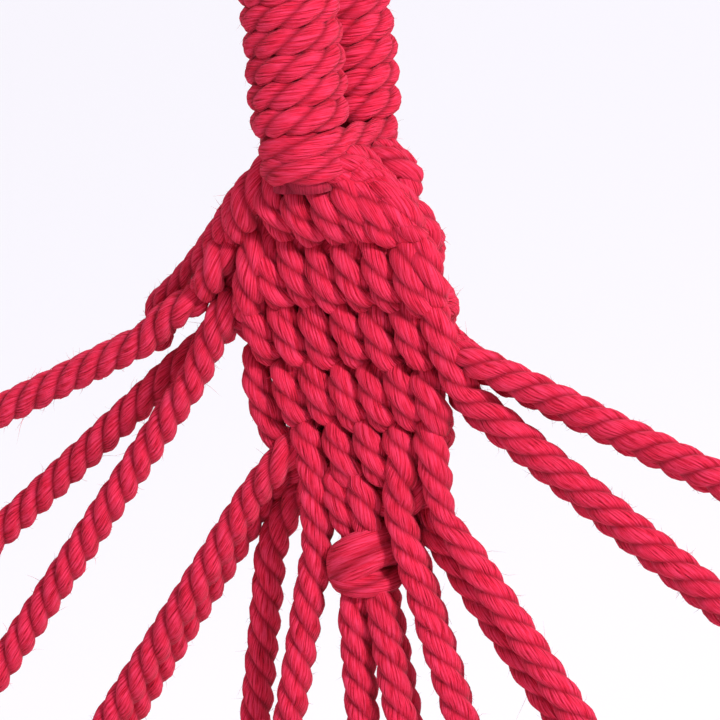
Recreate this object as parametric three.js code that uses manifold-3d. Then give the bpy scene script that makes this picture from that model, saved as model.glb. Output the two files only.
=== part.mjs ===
// Hanging macrame planter, in millimetres, +Z up.
// The origin is where the hook bears, at the top of the eye's opening. X runs along the spreader
// bar and the trough, and the front of the woven neck faces -Y.
import * as THREE from "three";
import { ConvexGeometry } from "three/addons/geometries/ConvexGeometry.js";
import { mergeVertices } from "three/addons/utils/BufferGeometryUtils.js";
import Module from "manifold-3d";

// ---- driving dimensions ----

const CORD = 6; // diameter of the three-strand cotton cord
const PLAY = 0.4; // gap kept between pieces that touch
const LAYER_GAP = 0.6; // between the front and back layers of cords in the fan

const EYE_BORE = 36; // clear width inside the eye
const EYE_THROAT = 56; // from the bearing point down to where the two legs meet
const EYE_CORE = 12.2; // diameter of the bundle of cords inside the eye
const SERVING_WALL = 3.2; // thickness of the cord wound round the bundle
const LEG_GAP = 0.6; // between the two served legs where they lie side by side
const NECK_DROP = 85; // from the bearing point down to the top of the seizing
const SEIZING_HEIGHT = 10.6;
const SEIZING_WALL = 3.4; // the seizing cord is pulled tight and flattened
const NECK_INSET = 1; // the mat's shoulder starts this far inside the seizing's outline

const MAT_THICKNESS = 13;
const MAT_BEVEL = 3;
const NECK_FLARE = 26; // how far down the round neck takes to become the flat mat
// The mat's outline: how far below its top edge, how far out to the left, how far out to the right.
const MAT_OUTLINE = [
  [0, 11.5, 11.5],
  [5, 20, 15],
  [16.4, 31, 20],
  [23.4, 36, 22],
  [28.4, 37, 22.5],
  [33.4, 30, 20],
  [38.4, 25.5, 18],
  [53.4, 22, 18],
  [59.4, 15, 14],
  [65.4, 7, 9.5],
];

const KNOT_WIDTH = 17;
const KNOT_HEIGHT = 12.5;
const KNOT_OFFSET = 1.7; // the centre knot sits a little to the right of the eye

const BAR_DIAMETER = 25;
const BAR_LENGTH = 552;
const BAR_DROP = 244; // from the bearing point down to the bar's centre line
const HITCH_WIDTH = 2 * CORD + 0.5; // two turns of cord side by side
const HITCH_GAP = 1.3; // between neighbouring hitches in the middle of the bar

const TROUGH_LENGTH = 500;
const TROUGH_WIDTH = 112;
const TROUGH_HEIGHT = 92;
const TROUGH_WALL = 3;
const TROUGH_CORNER = 14; // outside radius of the upright corners
const TROUGH_DROP = 352; // from the bearing point down to the rim
const DRAIN_HOLE = 10;
const DRAIN_COUNT = 5;
const DRAIN_PITCH = 92;
const TROUGH_PLAY = 0.8; // between the trough and the cords that carry it
const SLING_PITCH = 50;
const BELT_DROP = 30; // from the rim down to the belt cords

// ---- where the cords go ----

const FRONT = -1;
const BACK = 1;
const LAYER = (CORD + LAYER_GAP) / 2; // the two layers of cords lie this far either side of the middle

const MIDDLE_X = 5.2; // the middle of the two centre hitches
const HITCH_PITCH = HITCH_WIDTH + HITCH_GAP;

// Where a hitch grips the bar, from the left end to the right.
const HITCHES = {
  left_outer: -256,
  left_upper: -148,
  left_middle: -107,
  left_lower: -75.6,
  left_inner: -29,
  centre_left: MIDDLE_X - HITCH_PITCH / 2,
  centre_right: MIDDLE_X + HITCH_PITCH / 2,
  right_inner: MIDDLE_X + 1.5 * HITCH_PITCH,
  right_lower: 57,
  right_middle: 138,
  right_outer: 255,
};

// Each cord of the fan: where it leaves the mat (X, and Z from the bearing point), its layer, and
// the hitch that takes it.
const FAN_CORDS = [
  ["left_edge_cord_front", -41.5, -127, FRONT, "left_outer"],
  ["left_edge_cord_back", -41.5, -127, BACK, "left_outer"],
  ["left_upper_cord_back", -39.5, -133.6, BACK, "left_upper"],
  ["left_upper_cord_front", -32, -134.4, FRONT, "left_middle"],
  ["left_lower_cord_front", -21.5, -155.8, FRONT, "left_lower"],
  ["left_lower_cord_back", -21.5, -155.8, BACK, "left_lower"],
  ["left_inner_cord_back", -22.4, -168, BACK, "left_inner"],
  ["left_inner_cord_front", -11, -164.5, FRONT, "left_inner"],
  ["centre_left_cord_front", -1.6, -175.6, FRONT, "centre_left"],
  ["centre_left_cord_back", -1.6, -175.6, BACK, "centre_left"],
  ["centre_right_cord_front", 5, -175.6, FRONT, "centre_right"],
  ["centre_right_cord_back", 5, -175.6, BACK, "centre_right"],
  ["right_inner_cord_front", 12.6, -165, FRONT, "right_inner"],
  ["right_inner_cord_back", 12.6, -165, BACK, "right_inner"],
  ["right_lower_cord_front", 17.4, -158.8, FRONT, "right_lower"],
  ["right_lower_cord_back", 17.4, -158.8, BACK, "right_lower"],
  ["right_middle_cord_front", 24.5, -135, FRONT, "right_middle"],
  ["right_middle_cord_back", 24.5, -135, BACK, "right_middle"],
  ["right_outer_cord_front", 27.4, -128.2, FRONT, "right_outer"],
  ["right_outer_cord_back", 27.4, -128.2, BACK, "right_outer"],
];

// Each sling: the hitch that its front leg hangs from, and the one for its back leg.
const SLINGS = [
  ["left_outer", "left_outer"],
  ["left_middle", "left_upper"],
  ["left_lower", "left_lower"],
  ["left_inner", "left_inner"],
  ["centre_left", "centre_left"],
  ["centre_right", "centre_right"],
  ["right_inner", "right_inner"],
  ["right_lower", "right_lower"],
  ["right_middle", "right_middle"],
  ["right_outer", "right_outer"],
];

// ---- materials ----

const cotton = () => new THREE.MeshStandardMaterial({ color: 0xd22f52, roughness: 0.9, metalness: 0 });
const innerCotton = () => new THREE.MeshStandardMaterial({ color: 0x9c1c38, roughness: 0.95, metalness: 0 });
const beech = () => new THREE.MeshStandardMaterial({ color: 0xc79a63, roughness: 0.6, metalness: 0 });
const plastic = () => new THREE.MeshStandardMaterial({ color: 0xe9e6de, roughness: 0.6, metalness: 0 });

// ---- shared shapes ----

const group = new THREE.Group();

function add(name, geometry, material) {
  const mesh = new THREE.Mesh(geometry, material);
  mesh.name = name;
  group.add(mesh);
  return mesh;
}

// A route through chosen points: one straight step from each point to the next.
class Route extends THREE.Curve {
  constructor(points) {
    super();
    this.points = points;
  }

  getPoint(t, target = new THREE.Vector3()) {
    const place = t * (this.points.length - 1);
    const step = Math.min(Math.floor(place), this.points.length - 2);
    return target.lerpVectors(this.points[step], this.points[step + 1], place - step);
  }

  getUtoTmapping(u) {
    return u;
  }
}

function roundShape(radius, sides) {
  const points = [];
  for (let i = 0; i < sides; i += 1) {
    const turn = (2 * Math.PI * i) / sides;
    points.push(new THREE.Vector2(radius * Math.cos(turn), radius * Math.sin(turn)));
  }
  return new THREE.Shape(points);
}

function sweep(shape, points) {
  return new THREE.ExtrudeGeometry(shape, {
    steps: points.length - 1,
    extrudePath: new Route(points),
  });
}

const CORD_SIDES = 8;
const cordAlong = (points) => sweep(roundShape(CORD / 2, CORD_SIDES), points);

// A plan outline stood up along Z, from its lowest height upwards.
function upright(shape, lowest, height, curveSegments = 8) {
  const geometry = new THREE.ExtrudeGeometry(shape, { depth: height, bevelEnabled: false, curveSegments });
  return geometry.translate(0, 0, lowest);
}

// Two half circles a distance apart along Y, joined by straight sides.
function stadium(radius, halfSpan) {
  const shape = new THREE.Shape();
  shape.absarc(0, halfSpan, radius, 0, Math.PI, false);
  shape.absarc(0, -halfSpan, radius, Math.PI, 2 * Math.PI, false);
  shape.closePath();
  return shape;
}

function roundedRectangle(length, width, radius) {
  const x = length / 2 - radius;
  const y = width / 2 - radius;
  const shape = new THREE.Shape();
  shape.absarc(x, y, radius, 0, Math.PI / 2, false);
  shape.absarc(-x, y, radius, Math.PI / 2, Math.PI, false);
  shape.absarc(-x, -y, radius, Math.PI, 1.5 * Math.PI, false);
  shape.absarc(x, -y, radius, 1.5 * Math.PI, 2 * Math.PI, false);
  shape.closePath();
  return shape;
}

const wasm = await Module();
wasm.setup();

function solid(geometry) {
  const bare = geometry.index ? geometry.toNonIndexed() : geometry.clone();
  bare.deleteAttribute("normal");
  bare.deleteAttribute("uv");
  const merged = mergeVertices(bare, 1e-4);
  const mesh = new wasm.Mesh({
    numProp: 3,
    vertProperties: merged.getAttribute("position").array,
    triVerts: new Uint32Array(merged.index.array),
  });
  return new wasm.Manifold(mesh);
}

function geometryOf(body) {
  const mesh = body.getMesh();
  const geometry = new THREE.BufferGeometry();
  geometry.setAttribute("position", new THREE.BufferAttribute(mesh.vertProperties, mesh.numProp));
  geometry.setIndex(new THREE.BufferAttribute(mesh.triVerts, 1));
  const flat = geometry.toNonIndexed();
  flat.computeVertexNormals();
  return flat;
}

// ---- the eye: a bundle of cords bent into a loop and served with cord ----

const SERVED = EYE_CORE + 2 * SERVING_WALL;
const LEG_Y = (SERVED + LEG_GAP) / 2;
const LOOP_RADIUS = (EYE_BORE + SERVED) / 2;
const LOOP_CENTRE = -EYE_BORE / 2;
const ARC_STEPS = 14;
const FLANK_STEPS = 7;
const FLANK_RISE = 0.28; // how straight a leg starts and ends its bend, as a share of the throat's depth
const FLANK_FALL = 0.36;

// The loop's centre line from the foot of the front leg round to the foot of the back leg.
function loopPoints(footDepth) {
  const flank = new THREE.CubicBezierCurve3(
    new THREE.Vector3(0, -LEG_Y, -EYE_THROAT),
    new THREE.Vector3(0, -LEG_Y, -EYE_THROAT * (1 - FLANK_RISE)),
    new THREE.Vector3(0, -LOOP_RADIUS, LOOP_CENTRE - EYE_THROAT * FLANK_FALL),
    new THREE.Vector3(0, -LOOP_RADIUS, LOOP_CENTRE),
  );
  const front = [new THREE.Vector3(0, -LEG_Y, -footDepth), ...flank.getPoints(FLANK_STEPS)];
  const top = [];
  for (let i = 1; i < ARC_STEPS; i += 1) {
    const turn = (Math.PI * i) / ARC_STEPS;
    top.push(new THREE.Vector3(0, -LOOP_RADIUS * Math.cos(turn), LOOP_CENTRE + LOOP_RADIUS * Math.sin(turn)));
  }
  const back = front.map((p) => new THREE.Vector3(p.x, -p.y, p.z)).reverse();
  return [...front, ...top, ...back];
}

const SEIZING_BOTTOM = NECK_DROP + SEIZING_HEIGHT;
const MAT_TOP = SEIZING_BOTTOM + PLAY;
const LEG_SIDES = 12;

function eye() {
  add("eye_core", sweep(roundShape(EYE_CORE / 2, LEG_SIDES), loopPoints(SEIZING_BOTTOM)), innerCotton());
  const sleeve = roundShape(SERVED / 2, LEG_SIDES);
  sleeve.holes.push(roundShape(EYE_CORE / 2 + PLAY, LEG_SIDES));
  add("eye_serving", sweep(sleeve, loopPoints(NECK_DROP - PLAY)), cotton());
}

const SEIZING_BORE = EYE_CORE / 2 + PLAY;
const SEIZING_OUT = SEIZING_BORE + SEIZING_WALL;

function seizing() {
  const shape = stadium(SEIZING_OUT, LEG_Y);
  shape.holes.push(stadium(SEIZING_BORE, LEG_Y));
  add("neck_seizing", upright(shape, -SEIZING_BOTTOM, SEIZING_HEIGHT), cotton());
}

// ---- the woven mat: a flat outline, thickened at its top to meet the round neck ----

const MAT_DEPTH = MAT_OUTLINE.at(-1)[0];

// The bevel stands out past the shape, so the shape is drawn that much inside the outline.
function matShape() {
  const inset = (drop) => -THREE.MathUtils.clamp(drop, MAT_BEVEL, MAT_DEPTH - MAT_BEVEL);
  const left = MAT_OUTLINE.map(([drop, out]) => new THREE.Vector2(MAT_BEVEL - out, inset(drop)));
  const right = MAT_OUTLINE.map(([drop, , out]) => new THREE.Vector2(out - MAT_BEVEL, inset(drop)));
  return new THREE.Shape([...left, ...right.reverse()]);
}

function neckShoulder() {
  const points = [];
  const ring = stadium(SEIZING_OUT - NECK_INSET, LEG_Y).getPoints(8);
  ring.forEach((p) => points.push(new THREE.Vector3(p.x, p.y, -MAT_TOP)));
  const [, left, right] = MAT_OUTLINE.find(([drop]) => drop >= NECK_FLARE - MAT_BEVEL * 2);
  for (const x of [MAT_BEVEL - left, right - MAT_BEVEL]) {
    for (const y of [-MAT_THICKNESS / 2, MAT_THICKNESS / 2]) {
      points.push(new THREE.Vector3(x, y, -MAT_TOP - NECK_FLARE));
    }
  }
  return new ConvexGeometry(points);
}

function mat() {
  const panel = new THREE.ExtrudeGeometry(matShape(), {
    depth: MAT_THICKNESS - 2 * MAT_BEVEL,
    bevelThickness: MAT_BEVEL,
    bevelSize: MAT_BEVEL,
    bevelSegments: 2,
  });
  panel.translate(0, 0, MAT_BEVEL - MAT_THICKNESS / 2);
  panel.rotateX(Math.PI / 2);
  panel.translate(0, 0, -MAT_TOP);
  add("woven_mat", geometryOf(solid(panel).add(solid(neckShoulder()))), cotton());
}

const KNOT_TOP = MAT_TOP + MAT_DEPTH + PLAY;

function knot() {
  const profile = [];
  const steps = 8;
  for (let i = 0; i <= steps; i += 1) {
    const turn = -Math.PI / 2 + (Math.PI * i) / steps;
    profile.push(new THREE.Vector2((KNOT_WIDTH / 2) * Math.cos(turn), (KNOT_HEIGHT / 2) * Math.sin(turn)));
  }
  profile[0].x = 0;
  profile[steps].x = 0;
  const ball = new THREE.LatheGeometry(profile, 16);
  ball.rotateX(Math.PI / 2);
  ball.translate(KNOT_OFFSET, 0, -KNOT_TOP - KNOT_HEIGHT / 2);
  add("centre_knot", ball, cotton());
}

// ---- the spreader bar and its hitches ----

const HITCH_OUT = BAR_DIAMETER / 2 + PLAY + CORD;
const BAR_SIDES = 20;

function spreaderBar() {
  const bar = new THREE.CylinderGeometry(BAR_DIAMETER / 2, BAR_DIAMETER / 2, BAR_LENGTH, BAR_SIDES);
  bar.rotateZ(Math.PI / 2);
  bar.translate(0, 0, -BAR_DROP);
  add("spreader_bar", bar, beech());
}

function hitch(name, x) {
  const inner = BAR_DIAMETER / 2 + PLAY;
  const half = HITCH_WIDTH / 2;
  const chamfer = CORD / 4;
  const profile = [
    [inner, -half],
    [HITCH_OUT - chamfer, -half],
    [HITCH_OUT, -half + chamfer],
    [HITCH_OUT, half - chamfer],
    [HITCH_OUT - chamfer, half],
    [inner, half],
    [inner, -half],
  ].map(([r, y]) => new THREE.Vector2(r, y));
  const ring = new THREE.LatheGeometry(profile, BAR_SIDES);
  ring.rotateZ(-Math.PI / 2);
  ring.translate(x, 0, -BAR_DROP);
  add(`${name}_hitch`, ring, cotton());
}

// ---- the fan of cords between the mat and the bar ----

const ABOVE_HITCH = -BAR_DROP + HITCH_OUT + CORD / 2 + PLAY;
const BELOW_HITCH = -BAR_DROP - HITCH_OUT - CORD / 2 - PLAY;

function fanCord(name, x, z, layer, target) {
  const y = layer * LAYER;
  const points = [new THREE.Vector3(x, y, z), new THREE.Vector3(HITCHES[target], y, ABOVE_HITCH)];
  add(name, cordAlong(points), cotton());
}

// ---- the slings that carry the trough ----

const SLING_SIDE = TROUGH_WIDTH / 2 + TROUGH_PLAY + CORD / 2;
const SLING_UNDER = -TROUGH_DROP - TROUGH_HEIGHT - TROUGH_PLAY - CORD / 2;
const SLING_BEND = CORD / 2 + TROUGH_PLAY + 1; // a tight turn, round the trough's square lower edge
const BEND_STEPS = 3;

// One leg from the bar down the side of the trough to just under its edge.
function slingLeg(top, x, side) {
  const y = side * SLING_SIDE;
  const points = [new THREE.Vector3(top, side * LAYER, BELOW_HITCH), new THREE.Vector3(x, y, -TROUGH_DROP)];
  for (let i = 0; i <= BEND_STEPS; i += 1) {
    const turn = (Math.PI / 2) * (i / BEND_STEPS);
    const across = y - side * SLING_BEND * (1 - Math.cos(turn));
    const down = SLING_UNDER + SLING_BEND * (1 - Math.sin(turn));
    points.push(new THREE.Vector3(x, across, down));
  }
  return points;
}

function sling(index, frontHitch, backHitch) {
  const x = (index - (SLINGS.length - 1) / 2) * SLING_PITCH;
  const front = slingLeg(HITCHES[frontHitch], x, FRONT);
  const back = slingLeg(HITCHES[backHitch], x, BACK).reverse();
  add(`sling_${index + 1}`, cordAlong([...front, ...back]), cotton());
}

// ---- the belt cords along the outside of the slings, and the trough ----

const BELT_Y = SLING_SIDE + CORD + PLAY;
const BELT_OVERHANG = 12; // past the outermost slings, where its end knots are

function beltCord(name, side) {
  const end = ((SLINGS.length - 1) / 2) * SLING_PITCH + BELT_OVERHANG;
  const height = -TROUGH_DROP - BELT_DROP;
  const points = [-end, end].map((x) => new THREE.Vector3(x, side * BELT_Y, height));
  add(name, cordAlong(points), cotton());
}

function trough() {
  const outside = solid(
    upright(
      roundedRectangle(TROUGH_LENGTH, TROUGH_WIDTH, TROUGH_CORNER),
      -TROUGH_DROP - TROUGH_HEIGHT,
      TROUGH_HEIGHT,
    ),
  );
  const inside = solid(
    upright(
      roundedRectangle(
        TROUGH_LENGTH - 2 * TROUGH_WALL,
        TROUGH_WIDTH - 2 * TROUGH_WALL,
        TROUGH_CORNER - TROUGH_WALL,
      ),
      -TROUGH_DROP - TROUGH_HEIGHT + TROUGH_WALL,
      TROUGH_HEIGHT,
    ),
  );
  let body = outside.subtract(inside);
  for (let i = 0; i < DRAIN_COUNT; i += 1) {
    const drill = new THREE.CylinderGeometry(DRAIN_HOLE / 2, DRAIN_HOLE / 2, 4 * TROUGH_WALL, 16);
    drill.rotateX(Math.PI / 2);
    drill.translate((i - (DRAIN_COUNT - 1) / 2) * DRAIN_PITCH, 0, -TROUGH_DROP - TROUGH_HEIGHT);
    body = body.subtract(solid(drill));
  }
  add("planter_trough", geometryOf(body), plastic());
}

// ---- the whole planter ----

eye();
seizing();
mat();
knot();
FAN_CORDS.forEach((cord) => fanCord(...cord));
spreaderBar();
Object.entries(HITCHES).forEach(([name, x]) => hitch(name, x));
SLINGS.forEach(([frontHitch, backHitch], index) => sling(index, frontHitch, backHitch));
beltCord("front_belt_cord", FRONT);
beltCord("back_belt_cord", BACK);
trough();

export default group;
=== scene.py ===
import math

import bmesh
import bpy
import numpy as np
from mathutils import Matrix, Vector


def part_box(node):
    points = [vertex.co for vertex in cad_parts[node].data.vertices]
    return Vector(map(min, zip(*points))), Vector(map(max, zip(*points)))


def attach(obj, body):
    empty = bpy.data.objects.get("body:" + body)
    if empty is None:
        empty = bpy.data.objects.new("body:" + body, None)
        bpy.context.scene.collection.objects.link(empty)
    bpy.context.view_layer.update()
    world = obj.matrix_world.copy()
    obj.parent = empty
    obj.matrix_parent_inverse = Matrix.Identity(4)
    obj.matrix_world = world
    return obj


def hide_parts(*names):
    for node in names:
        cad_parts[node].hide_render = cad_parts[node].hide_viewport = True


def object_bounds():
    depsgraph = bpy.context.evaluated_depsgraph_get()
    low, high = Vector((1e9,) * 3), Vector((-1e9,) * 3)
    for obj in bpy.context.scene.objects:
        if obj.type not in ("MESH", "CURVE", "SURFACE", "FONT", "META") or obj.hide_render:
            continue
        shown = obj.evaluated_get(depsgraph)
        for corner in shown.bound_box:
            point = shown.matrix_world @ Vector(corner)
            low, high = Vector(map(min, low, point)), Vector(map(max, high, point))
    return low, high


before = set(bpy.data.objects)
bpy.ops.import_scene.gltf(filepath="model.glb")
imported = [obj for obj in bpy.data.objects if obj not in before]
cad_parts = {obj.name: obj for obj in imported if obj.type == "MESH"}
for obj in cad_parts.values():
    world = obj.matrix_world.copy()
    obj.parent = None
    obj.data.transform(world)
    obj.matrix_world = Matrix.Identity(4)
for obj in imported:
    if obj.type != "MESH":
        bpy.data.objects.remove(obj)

CAD_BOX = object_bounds()

# ------------------------------------------------------------
# Sizes in metres. The origin is where the hook bears in the eye, and +Z is up.
# ------------------------------------------------------------

CORD = 0.006            # three-strand cotton cord, across
LAY = 0.0154            # length of cord in which a strand goes once round
LAYER = 0.0033          # the front and back cords lie this far either side of the middle
FRONT, BACK = -1, 1

BAR_LOW, BAR_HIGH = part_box("spreader_bar")
BAR_Z = (BAR_LOW.z + BAR_HIGH.z) / 2
BAR_RADIUS = (BAR_HIGH.z - BAR_LOW.z) / 2
TROUGH_LOW, TROUGH_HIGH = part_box("planter_trough")
EYE_LOW, EYE_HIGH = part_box("eye_serving")
SEIZING_LOW, SEIZING_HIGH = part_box("neck_seizing")

HITCH_NAMES = ["left_outer", "left_upper", "left_middle", "left_lower", "left_inner",
               "centre_left", "centre_right", "right_inner", "right_lower", "right_middle",
               "right_outer"]


def middle(node):
    low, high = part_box(node)
    return (low + high) / 2


HITCH_X = {name: middle(name + "_hitch").x for name in HITCH_NAMES}
KNOT_CENTRE = middle("centre_knot") + Vector((-0.0026, -0.0014, 0))   # pulled forward and to the left


# ------------------------------------------------------------
# Camera, made first
# ------------------------------------------------------------

def add_camera():
    azimuth, elevation, roll = math.radians(30), math.radians(14), math.radians(5.5)
    distance = 1.20
    lens = 330
    aim = Vector((0.002, 0.0, -0.130))
    back = Vector((math.sin(azimuth) * math.cos(elevation),
                   -math.cos(azimuth) * math.cos(elevation),
                   math.sin(elevation)))
    level_right = Vector((math.cos(azimuth), math.sin(azimuth), 0))
    level_up = back.cross(level_right)
    right = level_right * math.cos(roll) - level_up * math.sin(roll)
    up = level_up * math.cos(roll) + level_right * math.sin(roll)
    data = bpy.data.cameras.new("camera")
    data.lens = lens
    data.sensor_width = 36
    data.clip_start = 0.02
    data.clip_end = 200
    camera = bpy.data.objects.new("camera", data)
    bpy.context.scene.collection.objects.link(camera)
    turn = Matrix((right, up, back)).transposed().to_4x4()
    camera.matrix_world = Matrix.Translation(aim + back * distance) @ turn
    bpy.context.scene.camera = camera


add_camera()


# ------------------------------------------------------------
# Routes: smooth curves through chosen points
# ------------------------------------------------------------

def smooth_route(points, step=0.0012):
    """A smooth curve through the points, whose bends follow the spacing of the points."""
    p = np.array(points, float)
    p = np.vstack([2 * p[0] - p[1], p, 2 * p[-1] - p[-2]])
    out = []
    for i in range(1, len(p) - 2):
        a, b, c, d = p[i - 1:i + 3]
        knots = np.cumsum([0] + [max(np.linalg.norm(v), 1e-6) ** 0.5 for v in (b - a, c - b, d - c)])
        count = max(2, int(np.linalg.norm(c - b) / step) + 1)
        t = np.linspace(knots[1], knots[2], count, endpoint=False)[:, None]
        t0, t1, t2, t3 = knots
        a1 = (t1 - t) / (t1 - t0) * a + (t - t0) / (t1 - t0) * b
        a2 = (t2 - t) / (t2 - t1) * b + (t - t1) / (t2 - t1) * c
        a3 = (t3 - t) / (t3 - t2) * c + (t - t2) / (t3 - t2) * d
        b1 = (t2 - t) / (t2 - t0) * a1 + (t - t0) / (t2 - t0) * a2
        b2 = (t3 - t) / (t3 - t1) * a2 + (t - t1) / (t3 - t1) * a3
        out.append((t2 - t) / (t2 - t1) * b1 + (t - t1) / (t2 - t1) * b2)
    out.append(p[-2][None])
    return np.vstack(out)


def evenly(route, step):
    """The same route with points an even step apart, and the length at each point."""
    lengths = np.concatenate([[0], np.cumsum(np.linalg.norm(np.diff(route, axis=0), axis=1))])
    count = max(4, int(round(lengths[-1] / step)) + 1)
    at = np.linspace(0, lengths[-1], count)
    return np.stack([np.interp(at, lengths, route[:, k]) for k in range(3)], axis=1), at


def frames_along(route, up=None):
    """Tangent and two crosswise directions at each point, carried along without twist.
    With an up direction, the first crosswise direction stays as close to it as it can."""
    tangent = np.gradient(route, axis=0)
    tangent /= np.linalg.norm(tangent, axis=1)[:, None]
    if up is not None:
        sides = np.array(up) - tangent * (tangent @ np.array(up))[:, None]
        sides /= np.linalg.norm(sides, axis=1)[:, None]
        return tangent, sides, np.cross(tangent, sides)
    start = np.array([1.0, 0, 0]) if abs(tangent[0][0]) < 0.8 else np.array([0, 1.0, 0])
    side = np.cross(tangent[0], start)
    side /= np.linalg.norm(side)
    sides = [side]
    for i in range(1, len(route)):
        side = side - tangent[i] * np.dot(side, tangent[i])
        side = side / np.linalg.norm(side)
        sides.append(side)
    sides = np.array(sides)
    return tangent, sides, np.cross(tangent, sides)


# ------------------------------------------------------------
# Cord: three strands laid together, as one closed skin with a crease between the strands
# ------------------------------------------------------------

STRAND = 0.63           # strand radius, as a share of the cord's radius
UNEVEN = 0.022          # how much the radius varies from place to place, as a share
FIBRE_RADIUS = 0.000033
FIBRE_REACH = 0.0010    # how far a loose fibre usually reaches from the cord
SEGMENTS = 8            # faces round each strand


def strand_section(segments=SEGMENTS, strand=STRAND):
    """Angle and radius round the section, for a cord of radius 1, from crease to crease."""
    offset = 1 - strand
    widest = math.radians(60) + math.asin(offset * math.sin(math.radians(60)) / strand)
    angles, radii = [], []
    for s in range(3):
        for k in range(segments):
            psi = -widest + 2 * widest * k / segments
            x = offset + strand * math.cos(psi)
            y = strand * math.sin(psi)
            angles.append(math.atan2(y, x) + s * 2 * math.pi / 3)
            radii.append(math.hypot(x, y))
    return np.array(angles), np.array(radii)


def mesh_piece(name, vertices, faces, uvs, crease, material):
    """A closed mesh object at the origin, with its own UV map in millimetres."""
    mesh = bpy.data.meshes.new(name)
    mesh.from_pydata(vertices.tolist(), [], faces)
    layer = mesh.uv_layers.new(name="cord")
    layer.data.foreach_set("uv", np.asarray(uvs, np.float32).ravel())
    attribute = mesh.attributes.new("crease", "FLOAT", "POINT")
    attribute.data.foreach_set("value", np.asarray(crease, np.float32))
    mesh.polygons.foreach_set("use_smooth", [True] * len(mesh.polygons))
    mesh.update()
    mesh.validate()
    piece = bpy.data.objects.new(name, mesh)
    bpy.context.scene.collection.objects.link(piece)
    mesh.materials.append(material)
    return piece


def cord_skin(route, diameter=CORD, lay=LAY, start_turn=0.0, rings_per_lay=16, segments=SEGMENTS,
              flat=(1.0, 1.0), up=None, strand=STRAND, shift=(0.0, 0.0), fuzz=0.0,
              squeeze=None):
    """Vertices, faces, UVs and creases of a laid cord along a route. The lay is left-handed.
    Flat stretches the section along its two crosswise directions, strand is the strand's share of
    the radius, shift moves the yarn pattern, and fuzz is the number of loose fibres to a mm."""
    angles, radii = strand_section(segments, strand)
    around = len(angles)
    centre, length = evenly(np.asarray(route), lay / rings_per_lay)
    _, side, other = frames_along(centre, up)
    turn = start_turn - 2 * math.pi * length / lay
    theta = angles[None, :] + turn[:, None]
    r = radii[None, :] * diameter / 2
    rng = np.random.default_rng(int(shift[0] * 13 + shift[1] * 5))
    uneven = rng.normal(0, UNEVEN, (len(centre), around))
    r = r * (1 + (np.roll(uneven, 1, 0) + 2 * uneven + np.roll(uneven, -1, 0)) / 4)
    if squeeze is not None:
        r = r * squeeze(centre)[:, None]
    along_side = r * np.cos(theta) * flat[0]
    along_other = r * np.sin(theta) * flat[1]
    skin = (centre[:, None, :] + along_side[..., None] * side[:, None, :]
            + along_other[..., None] * other[:, None, :])
    rings = len(centre)
    vertices = np.vstack([skin.reshape(-1, 3), centre[0], centre[-1]])
    faces, uvs = [], []
    mm = 1000.0

    def u_at(i, j):
        whole_turn = 2 * math.pi if j == around else 0
        return (angles[j % around] + whole_turn + turn[i]) * diameter / 2 * mm + shift[0]

    def v_at(i):
        return length[i] * mm + shift[1]

    for i in range(rings - 1):
        low, high = i * around, (i + 1) * around
        for j in range(around):
            k = (j + 1) % around
            faces.append((low + j, low + k, high + k, high + j))
            uvs += [(u_at(i, j), v_at(i)), (u_at(i, j + 1), v_at(i)),
                    (u_at(i + 1, j + 1), v_at(i + 1)), (u_at(i + 1, j), v_at(i + 1))]
    first, last = rings * around, rings * around + 1
    top = (rings - 1) * around
    for j in range(around):
        k = (j + 1) % around
        faces.append((first, k, j))
        uvs += [(0, v_at(0)), (u_at(0, j + 1), v_at(0)), (u_at(0, j), v_at(0))]
        faces.append((last, top + j, top + k))
        uvs += [(0, v_at(rings - 1)), (u_at(rings - 1, j), v_at(rings - 1)),
                (u_at(rings - 1, j + 1), v_at(rings - 1))]
    depth = 1 - (radii - radii.min()) / (1 - radii.min())
    crease = np.concatenate([np.tile(depth, rings), [0, 0]])
    cord = (vertices, faces, uvs, crease)
    if fuzz:
        count = int(fuzz * length[-1] * mm)
        seed = int(abs(shift[0]) * 100 + abs(shift[1]) * 7)
        return join_skins([cord, loose_fibres(skin, centre, count, seed)])
    return cord


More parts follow.
